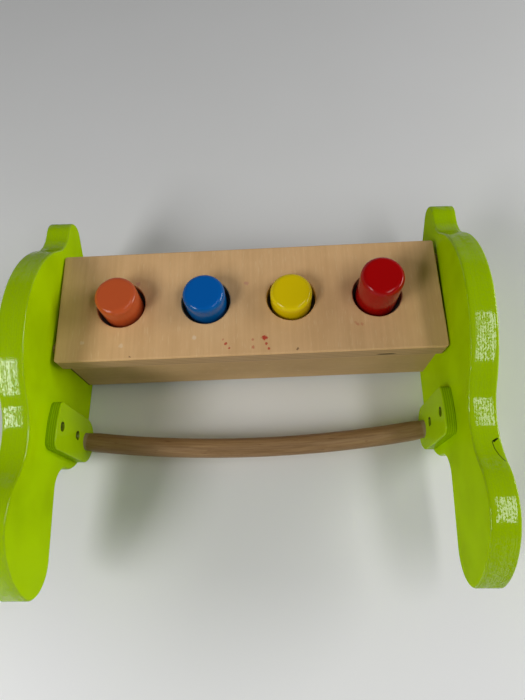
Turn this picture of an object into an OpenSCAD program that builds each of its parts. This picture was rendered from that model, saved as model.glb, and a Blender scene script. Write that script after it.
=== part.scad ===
/* [Top board] */
// Length of the top board, side to side
board_l = 260; // [240:1:300]
// Depth of the top board, front to back
board_w = 80; // [72:1:90]
// Thickness of the top board
board_t = 14; // [12:0.5:18]
// Height of the top board's upper face above the table
board_top = 84; // [80:1:88]
// Radius of the top board's upright corners
board_corner_r = 3; // [2:0.5:5]
// Radius of the top board's eased edges
board_edge_r = 1.2; // [0.5:0.1:1.5]
// Gap between each end of the top board and its side panel
board_gap = 1.5; // [0.5:0.1:3]
// Distance from one peg hole to the next
hole_pitch = 58; // [50:1:60]
// Diameter of the peg holes in the top board
hole_d = 33; // [31:0.5:35]
// Radius of the eased rim of each peg hole
hole_edge_r = 0.8; // [0.3:0.1:1.2]

/* [Lower body] */
// Height of the lower body's bottom edge above the table
body_bottom = 9; // [5:1:14]
// Distance from the top board's front edge back to the apron's face
apron_setback = 8; // [5:1:10]
// Thickness of the front and back aprons
apron_t = 10; // [8:0.5:11]
// Thickness of the two end boards
end_t = 12; // [10:0.5:14]
// Thickness of the guide board below the top board
guide_t = 12; // [9:0.5:15]
// Clearance all round a peg in the guide board's holes
guide_clearance = 0.3; // [0.2:0.05:0.6]

/* [Grip rings] */
// Outer diameter of the rubber rings that grip the pegs
ring_d = 38; // [37:0.5:40]
// Thickness of the rubber rings
ring_t = 6; // [4:0.5:8]
// Clearance all round a peg in its ring
ring_clearance = 0.05; // [0.02:0.01:0.09]
// Chamfer at both mouths of a ring's bore
ring_chamfer = 0.8; // [0.4:0.1:1.2]

/* [Pegs] */
// Diameter of the pegs
peg_d = 28; // [26:0.5:29]
// Length of the pegs
peg_l = 70; // [60:1:74]
// Radius of the rounded edge at a peg's top
peg_top_r = 3.5; // [2:0.5:5]
// Radius of the rounded edge at a peg's bottom
peg_foot_r = 2; // [1:0.5:4]
// Height of the orange peg above the top board
orange_h = 16; // [0:0.5:30]
// Height of the blue peg above the top board
blue_h = 14; // [0:0.5:30]
// Height of the yellow peg above the top board
yellow_h = 10; // [0:0.5:30]
// Height of the red peg above the top board
red_h = 26.5; // [0:0.5:30]

/* [Side panels] */
// Thickness of the side panels
panel_t = 17; // [14:0.5:20]
// Angle by which both side panels stand askew to the board, as on a bench that has been racked
panel_turn = 1.4; // [0:0.1:2]
// Height of the rounded back above the table
back_h = 124; // [118:1:130]
// Height of the head's top above the table
head_h = 109.5; // [105:0.5:112]
// Reach of the nose in front of the lower body's middle
nose_reach = 184.5; // [178:0.5:190]
// Height of the nose's centre above the table
nose_h = 63.5; // [60:0.5:67]
// Radius of the nose
nose_r = 20.5; // [17:0.5:22]
// Reach of the tail behind the lower body's middle
tail_reach = 74.5; // [70:0.5:80]
// Height of the tail's centre above the table
tail_h = 70.5; // [67:0.5:74]
// Radius of the tail's tip
tail_r = 11.5; // [9:0.5:13]
// Reach of the front foot in front of the lower body's middle
front_foot_reach = 101.5; // [99:0.5:106]
// Radius of the front foot
front_foot_r = 34; // [30:0.5:36]
// Reach of the back foot behind the lower body's middle
back_foot_reach = 58; // [52:0.5:60]
// Radius of the back foot
back_foot_r = 30; // [24:0.5:34]

/* [Lugs and rod] */
// Thickness of the lugs that carry the rod
lug_t = 7; // [5:0.5:9]
// Width of the lugs, front to back
lug_w = 32; // [28:0.5:36]
// Height of the lugs' upper end above the table
lug_top = 74.5; // [70:0.5:78]
// Radius of the curve across the lugs' upper end
lug_crown_r = 60; // [50:1:90]
// Diameter of the rod
rod_d = 14; // [11:0.5:18]
// Height of the rod's axis above the table
rod_h = 20; // [18:0.5:22]
// Reach of the rod's ends in front of the lower body's middle
rod_reach = 79.5; // [78:0.5:81]
// Distance by which the rod's middle bows forward of its ends
rod_bow = 9; // [6:0.5:12]

/* [Screws and dowels] */
// Diameter of the lug screws' heads
screw_head_d = 6.5; // [5.5:0.5:8]
// Diameter of the lug screws' shanks
screw_shank_d = 3.5; // [3:0.5:4.5]
// Depth of the screws' shanks in the side panels
screw_bite = 10; // [6:0.5:12]
// Depth of the screw heads below the lugs' faces
screw_sink = 2; // [1:0.5:3]
// Height of the upper lug screws above the table
screw_top_h = 65.5; // [60:0.5:67]
// Height of the lower lug screws above the table
screw_low_h = 37.5; // [35:0.5:45]
// Diameter of the dowels
dowel_d = 8; // [6:0.5:9]
// Depth of the dowels in the side panels
dowel_panel_bite = 10; // [6:0.5:12]
// Depth of the dowels in the top board
dowel_board_bite = 18.5; // [12:0.5:24]
// Depth of the dowels in the end boards
dowel_end_bite = 10; // [5:0.5:10]
// Distance between the two dowels at each end of the top board
board_dowel_pitch = 56; // [50:1:60]
// Distance between the two dowels in each end board
end_dowel_pitch = 24; // [16:1:30]
// Height of the end boards' dowels above the table
end_dowel_h = 40; // [30:1:48]

/* [Hidden] */
$fn = 64;

// Heights and lengths that follow from the driving sizes
inner_x = board_l / 2 + board_gap;
board_bottom = board_top - board_t;
body_w = board_w - 2 * apron_setback;
cavity_w = body_w - 2 * apron_t;
cavity_l = 2 * (inner_x - end_t);
hole_x = [for (i = [-1.5 : 1.5]) i * hole_pitch];
peg_r = peg_d / 2;
arc_step = 4;
middle = (nose_reach - tail_reach) / 2 * [sin(panel_turn), cos(panel_turn)];
dowel_board_x = board_l / 2 - dowel_board_bite;

// Colours
lime = [0.55, 0.85, 0.05];
birch = [0.80, 0.66, 0.50];
hardwood = [0.55, 0.36, 0.24];
rubber = [0.08, 0.08, 0.08];
steel = [0.45, 0.45, 0.47];

// Direction from a to b
function toward(a, b) = (b - a) / norm(b - a);

// Centre of a circle that lies reach_a from centre a and reach_b from centre b,
// on the left (side 1) or the right (side -1) of the way from a to b
function between(a, reach_a, b, reach_b, side) =
    let (
        gap = norm(b - a),
        along = (reach_a * reach_a - reach_b * reach_b + gap * gap) / (2 * gap),
        across = sqrt(max(0, reach_a * reach_a - along * along)),
        way = toward(a, b)
    )
    a + along * way + side * across * [-way[1], way[0]];

// An outline is a list of arcs [centre, r] taken anticlockwise, with r below 0 where
// the outline curves inwards. normal() is its direction outwards where arc a ends.
function normal(a, b) =
    let (
        gap = norm(b[0] - a[0]),
        way = toward(a[0], b[0]),
        c = max(-1, min(1, (a[1] - b[1]) / gap)),
        s = sqrt(1 - c * c)
    )
    c * way + s * [way[1], -way[0]];

// The normals where each arc of an outline starts
function normals(arcs) =
    [for (i = [0 : len(arcs) - 1]) normal(arcs[(i + len(arcs) - 1) % len(arcs)], arcs[i])];

// The points along one arc, from the direction where it starts to where it ends
function arc_points(arc, from, to) =
    let (
        start = atan2(from[1], from[0]),
        turned = (atan2(to[1], to[0]) - start + 720) % 360,
        turn = arc[1] > 0 ? turned : turned - 360,
        steps = max(1, ceil(abs(turn) / arc_step))
    )
    [for (i = [0 : steps])
        let (way = start + turn * i / steps)
        arc[0] + arc[1] * [cos(way), sin(way)]];

// All the points of an outline, without repeated ones
function outline_points(arcs) =
    let (
        n = normals(arcs),
        all = [for (i = [0 : len(arcs) - 1])
            each arc_points(arcs[i], n[i], n[(i + 1) % len(arcs)])]
    )
    [for (i = [0 : len(all) - 1]) if (norm(all[(i + 1) % len(all)] - all[i]) > 0.01) all[i]];

// Stands a flat Y-Z shape up as a plate that starts at x and is t thick
module plate(x, t) {
    translate([x, 0, 0]) rotate([90, 0, 90]) linear_extrude(t) children();
}

// A rod along X from x0 to x1
module bar(d, x0, x1, y, z) {
    translate([x0, y, z]) rotate([0, 90, 0]) cylinder(d = d, h = x1 - x0);
}

// Places a piece in the frame, whose origin is below the middle of the whole outline
module placed() {
    translate(middle) children();
}

// Mirrors a right-hand piece to its side: 1 is right, -1 is left
module on_side(side) {
    mirror([side < 0 ? 1 : 0, 0, 0]) children();
}

// Seats a right-hand piece on a side panel, with x = 0 at the panel's inner face
module on_panel(side) {
    translate([side * inner_x, 0, 0]) rotate([0, 0, -panel_turn]) mirror([side < 0 ? 1 : 0, 0, 0])
        children();
}

// Keeps only what lies between the side panels' inner faces
module between_panels() {
    difference() {
        children();
        for (side = [-1, 1])
            on_panel(side) translate([0, -nose_reach, -1])
                cube([inner_x, nose_reach + tail_reach, back_h]);
    }
}

// Outline of a side panel, from the front foot round to the chest
back_r = 71.5;
shoulder_r = 86;
neck_r = 39;
head_r = 36;
brow_r = 64;
tail_fillet_r = 22.5;
rump_r = 12;
rump_h = 43.5;
chest_r = 14.5;
back_y = -19;
head_setback = 46;
front_foot = [front_foot_r - front_foot_reach, front_foot_r];
back_foot = [back_foot_reach - back_foot_r, back_foot_r];
rump = [back_foot_reach + rump_r, rump_h];
tail = [tail_reach - tail_r, tail_h];
back = [back_y, back_h - back_r];
shoulder = [back_y, back_h - shoulder_r];
tail_fillet_h = tail_h + tail_r + tail_fillet_r;
tail_fillet = [
    back_y + sqrt(pow(back_r + tail_fillet_r, 2) - pow(tail_fillet_h - back[1], 2)),
    tail_fillet_h
];
head = [head_setback - nose_reach, head_h - head_r];
nose = [nose_r - nose_reach, nose_h];
neck = between(shoulder, shoulder_r + neck_r, head, head_r + neck_r, -1);
brow = between(head, brow_r - head_r, nose, brow_r - nose_r, 1);
chest = [-front_foot_reach - chest_r, front_foot_r];
panel_arcs = [
    [front_foot, front_foot_r],
    [back_foot, back_foot_r],
    [rump, -rump_r],
    [tail, tail_r],
    [tail_fillet, -tail_fillet_r],
    [back, back_r],
    [shoulder, shoulder_r],
    [neck, -neck_r],
    [head, head_r],
    [brow, brow_r],
    [nose, nose_r],
    [chest, -chest_r]
];

// Outline of a lug: a round lower end, straight sides and a crowned upper end
lug_r = lug_w / 2;
lug_front_r = 6;
lug_back_r = 4;
rod_lead = 1;
crown_lead = 3.5;
lug_y = rod_lead - rod_reach;
lug_crown = [lug_y - crown_lead, lug_top - lug_crown_r];
lug_back_y = lug_y + lug_r - lug_back_r;
lug_front_y = lug_y - lug_r + lug_front_r;
function under_crown(y, r) =
    [y, lug_crown[1] + sqrt(pow(lug_crown_r - r, 2) - pow(y - lug_crown[0], 2))];
lug_arcs = [
    [[lug_y, rod_h], lug_r],
    [under_crown(lug_back_y, lug_back_r), lug_back_r],
    [lug_crown, lug_crown_r],
    [under_crown(lug_front_y, lug_front_r), lug_front_r]
];
screw_spots = [[lug_y, screw_top_h], [lug_y, screw_low_h]];
screw_cone_l = (screw_head_d - screw_shank_d) / 2;
cross_l = 3.2;
cross_w = 0.8;
cross_depth = 0.8;

// Radius of the rod's bend and the middle of that bend
bend_chord = inner_x - lug_t;
bend_r = (pow(bend_chord, 2) + pow(rod_bow, 2)) / (2 * rod_bow);
bend_middle = [-rod_reach * sin(panel_turn), bend_r - rod_reach - rod_bow, rod_h];

// The sunk heads and shanks of a lug's screws
module screw_shapes() {
    for (spot = screw_spots)
        translate([screw_sink - lug_t, spot[0], spot[1]]) rotate([0, 90, 0]) {
            cylinder(d1 = screw_head_d, d2 = screw_shank_d, h = screw_cone_l);
            cylinder(d = screw_shank_d, h = lug_t - screw_sink + screw_bite);
        }
}

// The open sinks above the screws' heads
module screw_sinks() {
    for (spot = screw_spots)
        bar(screw_head_d, -lug_t - 1, screw_sink - lug_t, spot[0], spot[1]);
}

// The bent rod, cut off at the side panels' faces
module rod_shape() {
    turn = 2 * asin((inner_x + rod_d) / bend_r);
    between_panels()
        translate(bend_middle)
            rotate([0, 0, -90 - turn / 2])
                rotate_extrude(angle = turn, $fn = 720)
                    translate([bend_r, 0]) circle(d = rod_d);
}

// The dowels at one end of the top board
module board_dowel_shapes() {
    for (side = [-1, 1])
        bar(dowel_d, dowel_board_x, inner_x + dowel_panel_bite,
            side * board_dowel_pitch / 2, board_bottom + board_t / 2);
}

// The dowels in one end board
module end_dowel_shapes() {
    for (side = [-1, 1])
        bar(dowel_d, inner_x - dowel_end_bite, inner_x + dowel_panel_bite,
            side * end_dowel_pitch / 2, end_dowel_h);
}

// A rectangle with round corners, centred
module round_rectangle(l, w, r) {
    union() {
        square([l - 2 * r, w], center = true);
        square([l, w - 2 * r], center = true);
        for (x = [-1, 1], y = [-1, 1])
            translate([x * (l / 2 - r), y * (w / 2 - r)]) circle(r);
    }
}

module side_panel(side) {
    color(lime) placed()
        difference() {
            on_panel(side) difference() {
                plate(0, panel_t) polygon(outline_points(panel_arcs));
                screw_shapes();
            }
            on_side(side) board_dowel_shapes();
            on_side(side) end_dowel_shapes();
        }
}

module side_panel_left() {
    side_panel(-1);
}

module side_panel_right() {
    side_panel(1);
}

// The board's blank, with every edge eased
module board_blank() {
    intersection() {
        linear_extrude(board_t) round_rectangle(board_l, board_w, board_corner_r);
        translate([0, board_w, board_t / 2])
            rotate([90, 0, 0]) linear_extrude(2 * board_w)
                round_rectangle(board_l, board_t, board_edge_r);
        translate([-board_l, 0, board_t / 2])
            rotate([90, 0, 90]) linear_extrude(2 * board_l)
                round_rectangle(board_w, board_t, board_edge_r);
    }
}

// The cutter of one peg hole: eased rim, hole and the ring's pocket below
module hole_cutter() {
    rim_r = hole_d / 2 + hole_edge_r;
    translate([0, 0, -1]) cylinder(d = hole_d, h = board_t + 2);
    translate([0, 0, -1]) cylinder(d = ring_d, h = ring_t + 1);
    translate([0, 0, board_t - hole_edge_r]) rotate_extrude()
        difference() {
            translate([hole_d / 2 - 1, 0]) square([hole_edge_r + 1, hole_edge_r + 1]);
            translate([rim_r, 0]) circle(hole_edge_r);
        }
}

module top_board() {
    color(birch) placed()
        difference() {
            translate([0, 0, board_bottom]) difference() {
                board_blank();
                for (x = hole_x) translate([x, 0, 0]) hole_cutter();
            }
            for (side = [-1, 1]) on_side(side) board_dowel_shapes();
        }
}

module apron(side) {
    color(birch) placed() between_panels()
        translate([-inner_x - end_t, side * (body_w - apron_t) / 2 - apron_t / 2, body_bottom])
            cube([2 * (inner_x + end_t), apron_t, board_bottom - body_bottom]);
}

module front_apron() {
    apron(-1);
}

module back_apron() {
    apron(1);
}

module end_board(side) {
    color(birch) placed()
        difference() {
            between_panels() on_side(side)
                translate([inner_x - end_t, -cavity_w / 2, body_bottom])
                    cube([2 * end_t, cavity_w, board_bottom - body_bottom]);
            on_side(side) end_dowel_shapes();
        }
}

module end_board_left() {
    end_board(-1);
}

module end_board_right() {
    end_board(1);
}

module guide_board() {
    color(birch) placed()
        translate([0, 0, board_bottom - guide_t]) difference() {
            translate([-cavity_l / 2, -cavity_w / 2, 0]) cube([cavity_l, cavity_w, guide_t]);
            for (x = hole_x)
                translate([x, 0, -1]) cylinder(r = peg_r + guide_clearance, h = guide_t + 2);
        }
}

// A peg whose top stands h above the top board
module peg(x, h) {
    placed() translate([x, 0, board_top + h - peg_l]) rotate_extrude()
        union() {
            translate([0, peg_foot_r]) square([peg_r, peg_l - peg_foot_r - peg_top_r]);
            square([peg_r - peg_foot_r, peg_foot_r]);
            translate([peg_r - peg_foot_r, peg_foot_r])
                intersection() {
                    circle(peg_foot_r);
                    translate([0, -peg_foot_r]) square(peg_foot_r);
                }
            translate([0, peg_l - peg_top_r]) square([peg_r - peg_top_r, peg_top_r]);
            translate([peg_r - peg_top_r, peg_l - peg_top_r])
                intersection() {
                    circle(peg_top_r);
                    square(peg_top_r);
                }
        }
}

module peg_orange() {
    color([0.95, 0.45, 0.25]) peg(hole_x[0], orange_h);
}

module peg_blue() {
    color([0.05, 0.40, 0.75]) peg(hole_x[1], blue_h);
}

module peg_yellow() {
    color([1.00, 0.88, 0.10]) peg(hole_x[2], yellow_h);
}

module peg_red() {
    color([0.80, 0.08, 0.10]) peg(hole_x[3], red_h);
}

// A rubber ring in its pocket under the top board
module grip_ring(x) {
    bore_r = peg_r + ring_clearance;
    mouth_r = bore_r + ring_chamfer;
    color(rubber) placed() translate([x, 0, board_bottom]) rotate_extrude()
        polygon([
            [mouth_r, 0], [ring_d / 2, 0], [ring_d / 2, ring_t], [mouth_r, ring_t],
            [bore_r, ring_t - ring_chamfer], [bore_r, ring_chamfer]
        ]);
}

module grip_ring_orange() {
    grip_ring(hole_x[0]);
}

module grip_ring_blue() {
    grip_ring(hole_x[1]);
}

module grip_ring_yellow() {
    grip_ring(hole_x[2]);
}

module grip_ring_red() {
    grip_ring(hole_x[3]);
}

module lug(side) {
    color(lime) placed()
        difference() {
            on_panel(side) difference() {
                plate(-lug_t, lug_t) polygon(outline_points(lug_arcs));
                screw_shapes();
                screw_sinks();
            }
            rod_shape();
        }
}

module lug_left() {
    lug(-1);
}

module lug_right() {
    lug(1);
}

module handle_rod() {
    color(hardwood) placed() rod_shape();
}

// The four countersunk screws of the lugs, each with a cross in its head
module lug_screws() {
    color(steel) placed()
        for (side = [-1, 1]) on_panel(side)
            difference() {
                screw_shapes();
                for (spot = screw_spots, turn = [45, 135])
                    translate([screw_sink - lug_t, spot[0], spot[1]])
                        rotate([turn, 0, 0]) cube([2 * cross_depth, cross_l, cross_w], center = true);
            }
}

module board_dowels() {
    color(hardwood) placed()
        for (side = [-1, 1]) on_side(side) board_dowel_shapes();
}

module end_dowels() {
    color(hardwood) placed()
        for (side = [-1, 1]) on_side(side) end_dowel_shapes();
}

side_panel_left();
side_panel_right();
top_board();
front_apron();
back_apron();
end_board_left();
end_board_right();
guide_board();
peg_orange();
peg_blue();
peg_yellow();
peg_red();
grip_ring_orange();
grip_ring_blue();
grip_ring_yellow();
grip_ring_red();
lug_left();
lug_right();
handle_rod();
lug_screws();
board_dowels();
end_dowels();
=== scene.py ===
import math

import bpy
import numpy as np
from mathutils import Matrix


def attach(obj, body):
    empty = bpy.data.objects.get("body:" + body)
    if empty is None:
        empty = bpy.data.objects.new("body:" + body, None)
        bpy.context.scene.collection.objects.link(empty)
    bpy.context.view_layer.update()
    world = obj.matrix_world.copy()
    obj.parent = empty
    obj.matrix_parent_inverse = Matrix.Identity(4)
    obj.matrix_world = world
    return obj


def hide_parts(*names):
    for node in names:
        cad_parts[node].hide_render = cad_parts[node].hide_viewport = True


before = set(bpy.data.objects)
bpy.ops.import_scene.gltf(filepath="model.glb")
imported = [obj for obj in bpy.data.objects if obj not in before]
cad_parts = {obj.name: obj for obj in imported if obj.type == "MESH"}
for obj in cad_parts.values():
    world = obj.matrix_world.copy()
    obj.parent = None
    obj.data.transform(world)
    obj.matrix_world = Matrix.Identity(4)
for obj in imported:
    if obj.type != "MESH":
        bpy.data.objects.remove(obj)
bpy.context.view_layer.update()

# The view. Someone leans over the bench from a little in front of it and looks steeply
# down, with the bench's long board lying across the view.
eye = bpy.data.cameras.new("eye")
eye.sensor_fit = "AUTO"
eye.sensor_width = 36.0
eye.lens = 27.89
eye.clip_start = 0.01
viewer = bpy.data.objects.new("eye", eye)
viewer.location = (0.01963, -0.10892, 0.4151)
viewer.rotation_euler = (math.radians(20.88), math.radians(2.33), math.radians(-1.68))
bpy.context.scene.collection.objects.link(viewer)
bpy.context.scene.camera = viewer


# The room. A plain pale table stands under two long ceiling lamps, to the front left and the
# right, with a wide soft one beyond the right end and a sky that is pale round the horizon and
# dim overhead. The table's top is a matt pale laminate. Painted light makes it paler in front
# of the bench, painted shade makes it greyer below the left lamp, and a painted glow lights it
# faintly in the distance, where it passes into the sky.
def colour(red, green, blue):
    """A colour written in 0-255 display values, as the linear value that a shader takes."""
    display = np.array([red, green, blue]) / 255
    linear = np.where(display <= 0.04045, display / 12.92, ((display + 0.055) / 1.055) ** 2.4)
    return (*linear.tolist(), 1.0)


class Socket:
    """An output of a shader node. Sums and products of sockets and numbers add Math nodes."""

    def __init__(self, tree, out):
        self.tree = tree
        self.out = out

    def make(self, kind, settings, values, output=0):
        """Adds a node of one kind: its settings first, then the value or link of each input."""
        node = self.tree.nodes.new(kind)
        for name, value in settings.items():
            setattr(node, name, value)
        for name, value in values.items():
            if isinstance(value, Socket):
                self.tree.links.new(value.out, node.inputs[name])
            else:
                node.inputs[name].default_value = value
        return Socket(self.tree, node.outputs[output])

    def sum(self, operation, *values):
        """A Math node of one operation on the given values."""
        return self.make("ShaderNodeMath", {"operation": operation}, dict(enumerate(values)))

    def __add__(self, other):
        return self.sum("ADD", self, other)

    def __sub__(self, other):
        return self.sum("SUBTRACT", self, other)

    def __rsub__(self, other):
        return self.sum("SUBTRACT", other, self)

    def __mul__(self, other):
        return self.sum("MULTIPLY", self, other)

    def __truediv__(self, other):
        return self.sum("DIVIDE", self, other)

    def __abs__(self):
        return self.sum("ABSOLUTE", self)

    __radd__ = __add__

    def fraction(self):
        """What is left of the value beyond its last whole number."""
        return self.sum("FRACT", self)

    def greater(self, other):
        """The greater of two values."""
        return self.sum("MAXIMUM", self, other)

    def rise(self, low, high):
        """0 where the value is at low, 1 where it is at high, with a smooth step between."""
        return self.make(
            "ShaderNodeMapRange",
            {"interpolation_type": "SMOOTHSTEP"},
            {"Value": self, "From Min": low, "From Max": high},
        )

    def into(self, first, second):
        """The first colour where this value is 0, the second where it is 1."""
        return self.make(
            "ShaderNodeMix", {"data_type": "RGBA"}, {0: self, 6: first, 7: second}, 2
        )

    def stretched(self, scale, turn=(0.0, 0.0, 0.0), shift=(0.0, 0.0, 0.0)):
        """A place turned, then scaled along each axis, so that a pattern on it is drawn out."""
        return self.make(
            "ShaderNodeMapping",
            {},
            {"Vector": self, "Scale": scale, "Rotation": turn, "Location": shift},
        )

    def cloud(self, detail=2.0, roughness=0.5):
        """Soft random values between 0 and 1 over a place, one lump to each unit of length."""
        return self.make(
            "ShaderNodeTexNoise",
            {},
            {"Vector": self, "Scale": 1.0, "Detail": detail, "Roughness": roughness},
        )

    def axis(self, name):
        """One coordinate of a place."""
        return self.make("ShaderNodeSeparateXYZ", {}, {0: self}, "XYZ".index(name))

    def apart(self, point):
        """How far a place lies from a point."""
        return self.make(
            "ShaderNodeVectorMath", {"operation": "DISTANCE"}, {0: self, 1: point}, 1
        )


def finish(name, uv=False):
    """A new material, with its glossy shader and the place on the piece in metres."""
    material = bpy.data.materials.new(name)
    material.use_nodes = True
    tree = material.node_tree
    shader = tree.nodes["Principled BSDF"]
    node = tree.nodes.new("ShaderNodeTexCoord")
    return material, shader, Socket(tree, node.outputs["UV" if uv else "Object"])


def feed(shader, values):
    """Gives each named input of a material's shader its number or its link."""
    for name, value in values.items():
        if isinstance(value, Socket):
            value.tree.links.new(value.out, shader.inputs[name])
        else:
            shader.inputs[name].default_value = value


def relief(height, distance, strength=1.0):
    """The normal of a surface whose height varies by the given value times the distance."""
    return height.make(
        "ShaderNodeBump", {}, {"Height": height, "Distance": distance, "Strength": strength}
    )


def seen(tree):
    """1 for a ray that comes from the camera or by way of gloss or glass, 0 for one that
    carries light to a dull surface."""
    rays = tree.nodes.new("ShaderNodeLightPath")
    camera, glossy, clear = (
        Socket(tree, rays.outputs[name])
        for name in ("Is Camera Ray", "Is Glossy Ray", "Is Transmission Ray")
    )
    return camera.greater(glossy).greater(clear)


left_lamp = (-0.95, -0.70, 0.98)
laminate, shader, place = finish("table_laminate")
grey = place.stretched((9.0, 9.0, 9.0)).cloud(3.0)
top_hue = grey.into(colour(228, 228, 226), colour(232, 232, 231))
# Painted light: the table is paler in front of the bench.
front_painted_light = place.axis("Y").rise(-0.07, -0.21).into(top_hue, colour(245, 245, 244))
# Painted shade: the table is greyer below the left lamp.
below_lamp_painted_shade = place.apart((*left_lamp[:2], 0.0)).rise(0.90, 0.0)
# Painted glow: the distant table shines for camera, gloss and glass rays.
painted_glow = place.apart((0.0, 0.0, 0.0)).rise(0.5, 1.8) * seen(laminate.node_tree)
feed(shader, {
    "Emission Strength": 0.25,
    "Emission Color": painted_glow.into(colour(0, 0, 0), colour(255, 255, 255)),
    "Base Color": below_lamp_painted_shade.into(front_painted_light, colour(150, 150, 149)),
    "Roughness": 0.5,
    "Normal": relief(place.stretched((700.0, 700.0, 700.0)).cloud(2.0), 0.0001, 0.3),
})
tiles = 20
edge = np.linspace(-2.5, 2.5, tiles + 1)
across, along = np.meshgrid(edge, edge)
corner = (np.arange(tiles)[:, None] * (tiles + 1) + np.arange(tiles)).ravel()
table_mesh = bpy.data.meshes.new("table")
table_mesh.from_pydata(
    np.column_stack([across.ravel(), along.ravel(), 0 * across.ravel()]).tolist(),
    [],
    np.column_stack([corner, corner + 1, corner + tiles + 2, corner + tiles + 1]).tolist(),
)
table_mesh.materials.append(laminate)
table = bpy.data.objects.new("table", table_mesh)
bpy.context.scene.collection.objects.link(table)

sky = bpy.data.worlds.new("sky")
sky.use_nodes = True
sky_tree = sky.node_tree
background = sky_tree.nodes["Background"]
background.inputs["Color"].default_value = (0.93, 0.96, 1.0, 1.0)
way = Socket(sky_tree, sky_tree.nodes.new("ShaderNodeTexCoord").outputs["Generated"])
bright = way.axis("Z").rise(0.52, 0.30) * seen(sky_tree) * 0.30 + 0.085
sky_tree.links.new(bright.out, background.inputs["Strength"])
bpy.context.scene.world = sky
bpy.context.scene.view_settings.view_transform = "Standard"

for name, spot, tilt, size, power in (
    ("lamp_left", left_lamp, (0, 0, -20), (0.45, 0.94), 15.1),
    ("lamp_front", (0.62, -0.385, 1.20), (0, 0, 0), (0.20, 0.97), 4.0),
    ("lamp_right", (1.20, 0.15, 0.50), (69.6, 0, 97.1), (0.70, 0.40), 7.9),
):
    lamp = bpy.data.lights.new(name, "AREA")
    lamp.shape = "RECTANGLE"
    lamp.size, lamp.size_y = size
    lamp.energy = power
    holder = bpy.data.objects.new(name, lamp)
    holder.location = spot
    holder.rotation_euler = [math.radians(angle) for angle in tilt]
    bpy.context.scene.collection.objects.link(holder)


# The two sides of the bench: animal-shaped panels of 17 mm plywood, sawn out, their edges
# eased all round and brushed with bright lime lacquer, through which the plies show faintly
# on the rims. Both stand a little askew, because the bench has been racked. Their inner faces
# sit seat_x out from the middle of the bench, which lies row_y behind the frame's origin, where
# the row of pegs runs; face_x is a hair less, for telling what lies on a face.
turn = math.radians(1.4)
panel_t = 0.017
ply_t = 0.00142
seat_x = 0.1315
face_x = seat_x - 0.00004
row_y = 0.055
middle = row_y * np.array([math.sin(turn), math.cos(turn)])


def toward(a, b):
    """Unit vector from a to b."""
    return (b - a) / np.hypot(*(b - a))


def between(a, reach_a, b, reach_b, side):
    """Centre of the circle reach_a from a and reach_b from b: along the way from a to b by
    the cosine rule, then square to it on its left (1) or its right (-1)."""
    gap = np.hypot(*(b - a))
    far = (reach_a**2 - reach_b**2 + gap**2) / (2 * gap)
    off = math.sqrt(reach_a**2 - far**2)
    way = toward(a, b)
    return a + far * way + side * off * np.array([-way[1], way[0]])


def outline(arcs, steps):
    """Points and outward normals of a closed outline made of arcs (y, z, radius) taken
    anticlockwise, the radius below 0 where it curves inwards. Neighbouring arcs share a
    tangent line, whose normal makes with the line of centres an angle whose cosine is the
    difference of the radii over their distance; each arc sweeps from one normal to the next."""
    centre = np.array([arc[:2] for arc in arcs])
    radius = np.array([arc[2] for arc in arcs])
    way = np.roll(centre, -1, 0) - centre
    gap = np.hypot(*way.T)
    way /= gap[:, None]
    cosine = np.clip((radius - np.roll(radius, -1)) / gap, -1, 1)
    sine = np.sqrt(1 - cosine**2)
    last = cosine[:, None] * way + sine[:, None] * np.column_stack([way[:, 1], -way[:, 0]])
    first = np.roll(last, 1, 0)
    start = np.arctan2(first[:, 1], first[:, 0])
    sweep = (np.arctan2(last[:, 1], last[:, 0]) - start) % (2 * np.pi)
    sweep = np.where(radius > 0, sweep, sweep - 2 * np.pi)
    angle = start[:, None] + sweep[:, None] * np.linspace(0, 1, steps)
    normal = np.stack([np.cos(angle), np.sin(angle)], -1)
    return centre[:, None] + radius[:, None, None] * normal, normal


def without_repeats(points, normals):
    """Leaves out every point of a ring that lies on the one after it."""
    kept = np.hypot(*(np.roll(points, -1, 0) - points).T) > 1e-6
    return points[kept], normals[kept]


def eased(thickness, ease, steps):
    """Profile across an edge from one face to the other: how far in from the outline, and
    how far through. Each corner is a quarter circle, one minus sine against one minus cosine,
    with one more ring on each face a millimetre further in, which keeps the face flat."""
    angle = np.linspace(0, np.pi / 2, steps)
    inset = ease * (1 - np.sin(angle))
    depth = ease * (1 - np.cos(angle))
    inset = np.concatenate([[ease + 0.001], inset])
    depth = np.concatenate([[0.0], depth])
    wall = np.linspace(ease, thickness - ease, 7)[1:-1]
    return (
        np.concatenate([inset, 0 * wall, inset[::-1]]),
        np.concatenate([depth, wall, (thickness - depth)[::-1]]),
    )


def on_panel(side, out, u, z):
    """Places points given from a side panel's seat, out from its inner face, along it and
    up, by turning them with the panel about the upright axis."""
    x = side * seat_x + side * out * math.cos(turn) + u * math.sin(turn)
    y = u * math.cos(turn) - side * out * math.sin(turn)
    return np.stack(np.broadcast_arrays(x + middle[0], y + middle[1], z), -1)


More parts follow.
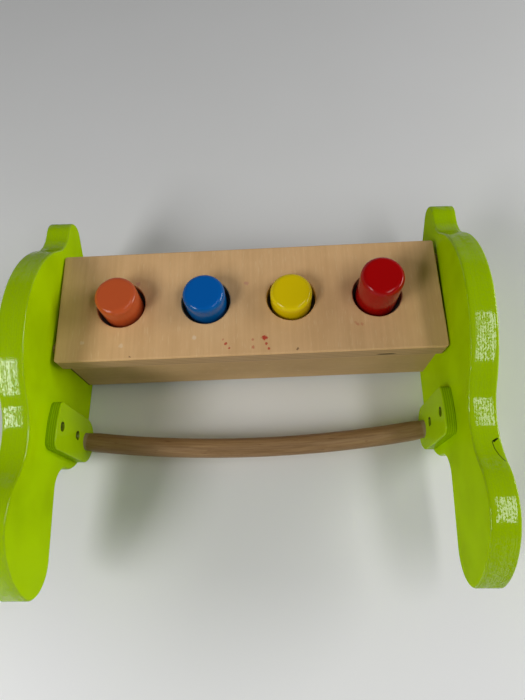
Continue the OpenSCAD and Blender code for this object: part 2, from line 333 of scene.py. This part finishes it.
def skin(name, stacks, material, closed=(True, True), mirrored=False):
    """Joins stacks of rings into one mesh: point i of ring k meets point i + 1 and ring k + 1
    in a four-sided face, and closed says whether a stack's first and last rings are filled.
    The UV map holds the share of the way round and along the stack."""
    points, faces, uvs, start = [], [], [], 0
    if not isinstance(closed[0], tuple):
        closed = [closed] * len(stacks)
    for rings, ends in zip(stacks, closed):
        rows, count = rings.shape[:2]
        i = np.arange(count)
        k = np.arange(rows - 1)[:, None]
        a = start + k * count + i
        b = start + k * count + (i + 1) % count
        quads = np.stack([a, b, b + count, a + count], -1).reshape(-1, 4)
        low = np.stack(np.broadcast_arrays(i / count, k / (rows - 1)), -1)
        step = np.array([[0, 0], [1, 0], [1, 1], [0, 1]]) / (count, rows - 1)
        uvs.append((low[:, :, None] + step).reshape(-1, 2))
        points.append(rings.reshape(-1, 3))
        faces += quads.tolist()
        first = start + np.arange(count)[::-1]
        final = start + (rows - 1) * count + i
        for end, ring in zip(ends, (first, final)):
            if end:
                faces.append(ring.tolist())
                uvs.append(np.column_stack([i / count, 0 * i]))
        start += rows * count
    mesh = bpy.data.meshes.new(name)
    mesh.from_pydata(np.concatenate(points).tolist(), [], faces)
    layer = mesh.uv_layers.new(name="UVMap")
    layer.data.foreach_set("uv", np.concatenate(uvs).astype(np.float32).ravel())
    if mirrored:
        mesh.flip_normals()
    mesh.shade_smooth()
    mesh.materials.append(material)
    piece = bpy.data.objects.new(name, mesh)
    bpy.context.scene.collection.objects.link(piece)
    return piece


front_foot = (-0.0675, 0.034, 0.034)
back_foot = (0.028, 0.030, 0.030)
rump = (0.070, 0.0435, -0.012)
tail = (0.063, 0.0705, 0.0115)
throat = (-0.116, 0.034, -0.0145)
back = np.array([-0.019, 0.0525])
shoulder = np.array([-0.019, 0.038])
head = np.array([-0.1385, 0.0735])
nose = np.array([-0.164, 0.0635])
tail_fillet_r = 0.0225
back_r = 0.0715
shoulder_r = 0.086
neck_r = 0.039
head_r = 0.036
brow_r = 0.064
nose_r = 0.0205
fillet_z = tail[1] + tail[2] + tail_fillet_r
fillet_y = back[0] + math.sqrt((back_r + tail_fillet_r) ** 2 - (fillet_z - back[1]) ** 2)
neck = between(shoulder, shoulder_r + neck_r, head, head_r + neck_r, -1)
brow = between(head, brow_r - head_r, nose, brow_r - nose_r, 1)
panel_arcs = [
    front_foot, back_foot, rump, tail, (fillet_y, fillet_z, -tail_fillet_r),
    (*back, back_r), (*shoulder, shoulder_r), (*neck, -neck_r), (*head, head_r),
    (*brow, brow_r), (*nose, nose_r), throat,
]


def lime_lacquer(name, scratched):
    """Bright lime lacquer on plywood. Low clouds shift its colour, and painted shade makes it a
    shade darker on the rims. There it lies thick, where fine lines along the plies and a fine
    orange peel break up a reflection. It is a little thinner on the outer face, and thin and dull
    on the face towards the board. How far out a point lies comes from its place in the turned
    frame.
    A scratched panel has a curved split across the rim of its neck, which ends in a chip."""
    material, shader, place = finish(name)
    clouds = place.stretched((22.0, 22.0, 22.0)).cloud(3.0)
    plies = place.stretched((560.0, 22.0, 22.0)).cloud(2.0, 0.6)
    marks = place.stretched((950.0, 620.0, 620.0)).cloud(1.0, 0.5)
    swell = place.stretched((60.0, 60.0, 60.0)).cloud(1.0)
    out = abs(place.stretched((1.0, 1.0, 1.0), (0.0, 0.0, turn)).axis("X")) - face_x
    crest = abs((out / ply_t + clouds * 1.5).fraction() - 0.5) * 2.0
    streaks = (crest * 0.12 + plies * 0.28 + marks * 0.60).rise(0.44, 0.57)
    outside = out.rise(panel_t - 0.0012, panel_t - 0.0002)
    on_rim = out.rise(0.00002, 0.0003) * (1 - outside)
    tint = (clouds * 0.6 + plies * 0.4).rise(0.3, 0.7)
    # Painted shade: the rims are coloured a shade darker than the faces.
    base = (tint + 0.5 - on_rim).rise(0.0, 1.5).into(colour(158, 193, 0), colour(181, 219, 0))
    if scratched:
        x = place.axis("X")
        y = place.axis("Y")
        wobble = (place.stretched((1.0, 420.0, 1.0)).cloud(2.0) - 0.5) * 0.0008
        run = y + 0.0515
        line = abs(x + wobble - 0.1417 - run * run * 31.0).rise(0.0004, 0.0002)
        line = line * abs(y + 0.0560).rise(0.0067, 0.0061)
        from_x = x - 0.1437
        from_y = y + 0.0491
        chip = abs(from_y * 0.87 - from_x * 0.49 + wobble * 1.5).rise(0.0007, 0.0004)
        chip = chip * abs(from_x * 0.87 + from_y * 0.49).rise(0.0021, 0.0016)
        on_top = place.axis("Z").rise(0.088, 0.090)
        base = ((line * 0.8).greater(chip) * on_top).into(base, colour(28, 36, 8))
    feed(shader, {
        "Base Color": base,
        "Roughness": 0.4,
        "Specular IOR Level": 0.0,
        "Coat Weight": on_rim * streaks * 0.95 + outside * 0.6 + 0.06,
        "Coat Roughness": 0.09,
        "Normal": relief(plies * 0.6 + marks * 0.3 + swell * 1.0, 0.00022, 1.0),
    })
    return material


inset, depth = eased(panel_t, 0.0014, 6)
rim, rim_normal = outline(panel_arcs, 48)
rim, rim_normal = without_repeats(rim.reshape(-1, 2), rim_normal.reshape(-1, 2))
ring = rim - inset[:, None, None] * rim_normal
for side, label in ((-1, "left"), (1, "right")):
    piece = skin(
        "side_" + label,
        [on_panel(side, depth[:, None], ring[:, :, 0], ring[:, :, 1])],
        lime_lacquer("lime_lacquer_" + label, side > 0),
        mirrored=side < 0,
    )
    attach(piece, "bench")
    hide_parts("side_panel_" + label)


# The top board and the box below it: birch plywood, clear-lacquered. The board's face veneer
# runs front to back with fine pale flecks; the aprons' runs along the bench. Their edges show
# the plies, and the board carries a few specks of red paint knocked off by a mallet.
board_top = 0.084
board_t = 0.014


def dress(node, material):
    """Gives a solid of the frame its material."""
    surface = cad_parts[node].data
    surface.materials.clear()
    surface.materials.append(material)


def birch(name, grain, level, specks, hues):
    """Birch plywood. Fine lines, flecks and a broad figure are clouds drawn out along the
    grain. Where a level is given, from which the plies are counted up, they show below the
    face veneer as bands 1.4 mm thick, of which every second is end grain and darker, with one
    void among them, whose hollow is painted shade; otherwise painted shade darkens a strip
    along the left panel, where the gap between box and panel lies in shade. Specks are
    soft spots on the board's face: x, y, size, colour and strength."""
    material, shader, place = finish(name)
    long = {"X": (9.0, 420.0, 420.0), "Y": (420.0, 9.0, 420.0)}[grain]
    fleck_scale = tuple(value * (14.0 if value < 10 else 2.6) for value in long)
    figure_scale = tuple(value * (1.1 if value < 10 else 0.12) for value in long)
    lines = place.stretched(long).cloud(4.0, 0.65)
    flecks = place.stretched(fleck_scale).cloud(1.0).rise(0.62, 0.74)
    figure = place.stretched(figure_scale).cloud(3.0, 0.55)
    blotch = place.stretched((28.0, 28.0, 28.0)).cloud(3.0, 0.6)
    tone = (lines * 0.35 + figure * 0.25 + blotch * 0.40).rise(0.30, 0.70)
    face = tone.into(*hues)
    face = (flecks * 0.4).into(face, colour(232, 200, 152))
    if level is None:
        # Painted shade: a dark strip along the left panel, in the gap beside the box.
        left = place.stretched((1.0, 1.0, 1.0), (0.0, 0.0, turn)).axis("X")
        face = left.rise(-0.1304, -0.1308).into(face, colour(34, 28, 10))
    else:
        dark = abs(((place.axis("Z") - level) / 0.0028).fraction() - 0.5).rise(0.22, 0.28)
        pores = place.stretched((1600.0, 1600.0, 1600.0)).cloud(2.0)
        ply = (dark * 0.7 + pores * 0.3).into(colour(204, 168, 126), colour(172, 136, 94))
        face = (place.axis("Z") - board_top).rise(-0.0016, -0.0020).into(face, ply)
        # Painted shade: the void is not cut; its hollow is coloured dark.
        squeezed = place.stretched((0.2, 1.0, 1.4))
        void = squeezed.apart((0.0917 * 0.2, 0.0150, 0.0744 * 1.4)).rise(0.0015, 0.0010)
        face = void.into(face, colour(30, 22, 8))
    for x, y, size, hue, strength in specks:
        ragged = (place.stretched((900.0, 500.0, 900.0)).cloud(2.0) - 0.5) * 0.0022
        spot = place.apart((x, y, board_top)) + ragged
        face = (spot.rise(size, size * 0.55) * strength).into(face, hue)
    feed(shader, {
        "Base Color": face,
        "Roughness": 0.42 + lines * 0.14,
        "Specular IOR Level": 0.1,
        "Normal": relief(lines * 0.6 + flecks * 0.4, 0.00006, 0.8),
    })
    return material


red_fleck = colour(186, 44, 36)
brown_fleck = colour(96, 62, 40)
pale_dent = colour(236, 214, 182)
pink_smear = colour(202, 140, 120)
board_specks = [
    (-0.0141, 0.0235, 0.0011, red_fleck, 0.8), (-0.0118, 0.0201, 0.0011, red_fleck, 0.8),
    (-0.0160, 0.0263, 0.0009, red_fleck, 0.5), (0.0038, 0.0256, 0.0010, red_fleck, 0.45),
    (0.0037, 0.0203, 0.0014, red_fleck, 0.5), (0.0115, 0.0265, 0.0024, red_fleck, 0.9),
    (0.0125, 0.0223, 0.0012, red_fleck, 0.8), (0.0141, 0.0189, 0.0013, red_fleck, 0.8),
    (0.0330, 0.0176, 0.0009, brown_fleck, 0.7), (-0.0777, 0.0169, 0.0008, brown_fleck, 0.7),
    (-0.0353, 0.0285, 0.0018, pale_dent, 0.5), (-0.0839, 0.0250, 0.0018, pale_dent, 0.4),
    (-0.1103, 0.0283, 0.0015, pale_dent, 0.4), (-0.0749, 0.0707, 0.0020, pink_smear, 0.6),
    (0.0000, 0.0676, 0.0018, pink_smear, 0.6), (0.0722, 0.0345, 0.0012, red_fleck, 0.25),
    (0.0737, 0.0331, 0.0014, red_fleck, 0.30), (0.0762, 0.0333, 0.0011, red_fleck, 0.28),
]
board_hues = (colour(213, 170, 119), colour(230, 188, 136))
# Painted shade: the box's birch is coloured darker than the board's, for the shade under the
# board.
shaded_box_hues = (colour(194, 156, 108), colour(208, 172, 123))
dress("top_board", birch("birch_board", "Y", board_top - board_t, board_specks, board_hues))
birch_box = birch("birch_box", "X", None, [], shaded_box_hues)
for node in ("front_apron", "back_apron", "end_board_left", "end_board_right", "guide_board"):
    dress(node, birch_box)


# The four pegs: turned beech, their ends rounded over, dipped in thick gloss paint. The flat
# tops are a touch rougher, with mallet dents, and their colour is set a shade apart from the
# sides' as painted light and shade. Each peg slides up and down in its hole.
peg_r = 0.014
peg_l = 0.070
hole_pitch = 0.058


def gloss_paint(name, side_hue, top_hue, top_z):
    """Thick gloss paint: a smooth coat with slow waves. Its flat top is a touch duller, with
    shallow mallet dents, and is coloured a shade apart from the sides as painted light and shade."""
    material, shader, place = finish(name)
    top = (place.axis("Z") - top_z).rise(-0.0012, -0.0002)
    waves = place.stretched((130.0, 130.0, 130.0)).cloud(2.0)
    dents = place.stretched((260.0, 260.0, 260.0)).cloud(2.0, 0.4)
    # Painted light and shade: the flat top takes its own hue, apart from the sides'.
    tint = (top + (waves - 0.5) * 0.35).rise(0.0, 1.0)
    feed(shader, {
        "Base Color": tint.into(side_hue, top_hue),
        "Roughness": top * 0.03 + 0.14 + (dents - 0.5) * 0.06,
        "Specular IOR Level": 0.25,
        "Normal": relief(waves * 0.5 + dents * top * 0.4, 0.00015, 0.6),
    })
    return material


quarter = np.linspace(0, np.pi / 2, 9)
foot_r = 0.002
top_r = 0.0035
core_r = 0.004
flat_rim = 0.001
profile_r = np.concatenate([
    [core_r, peg_r - foot_r - flat_rim], peg_r - foot_r + foot_r * np.sin(quarter),
    np.full(5, peg_r),
    peg_r - top_r + top_r * np.cos(quarter), [peg_r - top_r - flat_rim, core_r],
])[:, None]
profile_z = np.concatenate([
    [0.0, 0.0], foot_r - foot_r * np.cos(quarter),
    np.linspace(foot_r, peg_l - top_r, 7)[1:-1],
    peg_l - top_r + top_r * np.sin(quarter), [peg_l, peg_l],
])[:, None]
circle = np.linspace(0, 2 * np.pi, 96, endpoint=False)
# Each peg's side and top hues differ as painted light and shade.
for hue, step, above_board, side_hue, top_hue in (
    ("orange", -1.5, 0.0160, colour(198, 87, 42), colour(198, 87, 44)),
    ("blue", -0.5, 0.0140, colour(0, 92, 164), colour(0, 93, 176)),
    ("yellow", 0.5, 0.0100, colour(240, 213, 0), colour(228, 200, 0)),
    ("red", 1.5, 0.0265, colour(169, 14, 10), colour(172, 0, 2)),
):
    top_z = board_top + above_board
    peg = skin(
        "gloss_peg_" + hue,
        [np.stack(np.broadcast_arrays(
            middle[0] + step * hole_pitch + profile_r * np.cos(circle),
            middle[1] + profile_r * np.sin(circle),
            top_z - peg_l + profile_z,
        ), -1)],
        gloss_paint("gloss_" + hue, side_hue, top_hue, top_z),
    )
    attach(peg, hue + "_peg")
    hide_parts("peg_" + hue)


# The rubber rings that grip the pegs sit in pockets under the top board: dark grey moulded
# rubber with a faint bloom. Only their inner lips can be seen, down in the holes.
rubber, shader, place = finish("ring_rubber")
bloom = place.stretched((400.0, 400.0, 400.0)).cloud(3.0)
feed(shader, {
    "Base Color": bloom.into(colour(62, 58, 52), colour(96, 92, 84)),
    "Roughness": bloom * 0.2 + 0.25,
    "Normal": relief(bloom, 0.0001, 0.6),
})
for hue in ("orange", "blue", "yellow", "red"):
    dress("grip_ring_" + hue, rubber)


# The lugs that carry the rod: small blocks of 7 mm plywood with a round lower end, lacquered
# lime like the sides, their edges darker where the plies drink the paint. Each is held by two
# sunk screws.
lug_t = 0.007
lug_y = -0.0785
lug_r = 0.016
crown_r = 0.060
crown = (lug_y - 0.0035, 0.0745 - crown_r)


def under_crown(y, r):
    """An arc of radius r at y that touches the crown from inside."""
    return (y, crown[1] + math.sqrt((crown_r - r) ** 2 - (y - crown[0]) ** 2), r)


lug_arcs = [
    (lug_y, 0.020, lug_r),
    under_crown(lug_y + lug_r - 0.004, 0.004),
    (*crown, crown_r),
    under_crown(lug_y - lug_r + 0.006, 0.006),
]
split_z = 0.0515
screw_z = (0.0655, 0.0375)
sink_r = 0.00325
edge_line, edge_normal = outline(lug_arcs, 20)
back_split = np.array([[lug_y + lug_r, split_z]])
front_split = np.array([[lug_y - lug_r, split_z]])
lug_ring = np.concatenate([edge_line[0], back_split, edge_line[1:].reshape(-1, 2), front_split])
lug_normal = np.concatenate([edge_normal[0], [[1, 0]], edge_normal[1:].reshape(-1, 2), [[-1, 0]]])
lug_ring, lug_normal = without_repeats(lug_ring, lug_normal)
inset, depth = eased(lug_t, 0.0008, 5)
inset = inset[1:]
depth = depth[1:]
rim_rings = lug_ring - inset[:, None, None] * lug_normal
face_ring = rim_rings[0]
seam = np.linspace(face_ring[-1], face_ring[20], 12)
halves = (
    (screw_z[0], np.concatenate([face_ring[20:], seam[1:-1]])),
    (screw_z[1], np.concatenate([face_ring[:21], seam[::-1][1:]])),
)


def sunk_face(z, border):
    """One half of a lug's face round a screw: rings blend from the sink's circle to the half's
    border, point by point along the lines from the screw, after two rings down the sink."""
    centre = np.array([lug_y, z])
    ray = border - centre
    circle = centre + sink_r * ray / np.hypot(*ray.T)[:, None]
    share = np.array([0, 0, 0.04, 0.3, 0.65, 1.0])[:, None, None]
    flat = circle + share * (border - circle)
    out = np.array([0.003, 0.0002, 0, 0, 0, 0])[:, None] - lug_t
    return flat, out


def lug_lacquer(name, side):
    """Lime lacquer that is thinner on the plies' edges: five bands across the lug's thickness,
    counted from its face in the turned frame, darken the green between face and seat. Painted
    shade darkens the sinks, within a sink's radius of each screw's axis."""
    material, shader, place = finish(name)
    turned_place = place.stretched((1.0, 1.0, 1.0), (0.0, 0.0, turn))
    depth_in = abs(turned_place.axis("X")) - face_x + lug_t
    line = abs((depth_in / 0.0014).fraction() - 0.5).rise(0.25, 0.46)
    on_edge = depth_in.rise(0.0005, 0.0012)
    pores = place.stretched((900.0, 700.0, 700.0)).cloud(3.0, 0.6)
    clouds = place.stretched((60.0, 60.0, 60.0)).cloud(2.0)
    face = clouds.into(colour(161, 199, 2), colour(174, 211, 4))
    edges = (line * 0.75 + pores * 0.25).into(colour(166, 200, 0), colour(118, 158, 0))
    green = on_edge.into(face, edges)
    flat = turned_place.stretched((0.0, 1.0, 1.0))
    # Painted shade in each screw's sink.
    for z in screw_z:
        gap = flat.apart((0.0, lug_y + row_y + side * seat_x * math.sin(turn), z))
        green = gap.rise(sink_r + 0.0002, sink_r - 0.0001).into(green, colour(64, 74, 4))
    feed(shader, {
        "Base Color": green,
        "Roughness": on_edge * 0.25 + 0.35,
        "Specular IOR Level": 0.0,
        "Coat Weight": 0.25,
        "Coat Roughness": 0.15,
        "Normal": relief(line * on_edge * 0.6 + pores * 0.4, 0.00015, 0.8),
    })
    return material


for side, label in ((-1, "left"), (1, "right")):
    stacks = [on_panel(side, depth[:, None] - lug_t, rim_rings[:, :, 0], rim_rings[:, :, 1])]
    for z, border in halves:
        flat, out = sunk_face(z, border)
        stacks.append(on_panel(side, out, flat[:, :, 0], flat[:, :, 1]))
    lug = skin(
        "rod_lug_" + label, stacks, lug_lacquer("lug_lacquer_" + label, side),
        closed=((False, True), (True, False), (True, False)), mirrored=side < 0,
    )
    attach(lug, "bench")
    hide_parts("lug_" + label)


# The bowed rod between the lugs: a steam-bent hardwood dowel, oiled, bowing to the front, its
# ends a touch slimmer where they enter the lugs.
rod_r = 0.007
chord = seat_x - lug_t
bow = 0.009
bend_r = (chord**2 + bow**2) / (2 * bow)
rod_y = -0.0795
rod_z = 0.020
taper_l = 0.009
slimmer = 0.0007
swing = math.asin((seat_x - 0.0003) / bend_r)
path = np.linspace(-swing, swing, 121)[:, None]
circle = np.linspace(0, 2 * np.pi, 48, endpoint=False)
reach = np.abs(bend_r * np.sin(path))
taper = np.clip((reach - chord + taper_l) / taper_l, 0, 1)
thick = rod_r - slimmer * taper**2 * (3 - 2 * taper)
sideways = bend_r + thick * np.cos(circle)
rod_rings = np.stack([
    middle[0] + rod_y * math.sin(turn) + sideways * np.sin(path),
    middle[1] + rod_y - bow + bend_r - sideways * np.cos(path),
    rod_z + thick * np.sin(circle) + 0 * path,
], -1)

oiled, shader, place = finish("oiled_hardwood", uv=True)
lengthwise = place.stretched((34.0, 9.0, 1.0)).cloud(4.0, 0.7)
broad = place.stretched((7.0, 3.0, 1.0)).cloud(2.0)
dashes = place.stretched((26.0, 20.0, 1.0), shift=(3.0, 5.0, 0.0)).cloud(2.0).rise(0.66, 0.74)
tone = (lengthwise * 0.6 + broad * 0.4).rise(0.32, 0.68)
wood = tone.into(colour(131, 99, 64), colour(168, 134, 95))
wood = (dashes * 0.7).into(wood, colour(98, 60, 36))
# Painted shade: the rod is coloured darker towards its left end, beside the left panel.
wood = (place.axis("Y").rise(0.40, 0.04) * 0.35).into(wood, colour(112, 78, 40))
ends = abs(place.axis("Y") - 0.5).rise(0.4625, 0.468)
wood = (ends * 0.55).into(wood, colour(170, 152, 130))
feed(shader, {
    "Base Color": wood,
    "Roughness": lengthwise * 0.15 + 0.38,
    "Specular IOR Level": 0.25,
    "Normal": relief(lengthwise * 0.7 + dashes * -0.6, 0.00012, 0.8),
})
rod = skin("bowed_rod", [rod_rings], oiled)
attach(rod, "bench")
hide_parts("handle_rod")


# The fastenings: dull zinc-plated screws in the lugs, coloured a dark olive as painted shade of
# their sinks, and plain beech dowels that join the top board and the end boards to the sides;
# one dowel's end shows in the gap beside the board.
zinc, shader, place = finish("dull_zinc")
tarnish = place.stretched((900.0, 900.0, 900.0)).cloud(3.0, 0.7)
# Painted shade: the screws are coloured dark olive, as they look deep in their sinks.
feed(shader, {
    "Base Color": tarnish.into(colour(46, 50, 16), colour(78, 80, 34)),
    "Metallic": 0.4,
    "Roughness": tarnish * 0.25 + 0.35,
    "Normal": relief(tarnish, 0.00005, 0.6),
})
dress("lug_screws", zinc)

beech, shader, place = finish("beech_dowel")
fibres = place.stretched((30.0, 1100.0, 1100.0)).cloud(3.0, 0.6)
feed(shader, {
    "Base Color": fibres.rise(0.35, 0.65).into(colour(150, 108, 70), colour(190, 148, 104)),
    "Roughness": 0.55 + fibres * 0.1,
    "Normal": relief(fibres, 0.00008, 0.7),
})
for node in ("board_dowels", "end_dowels"):
    dress(node, beech)
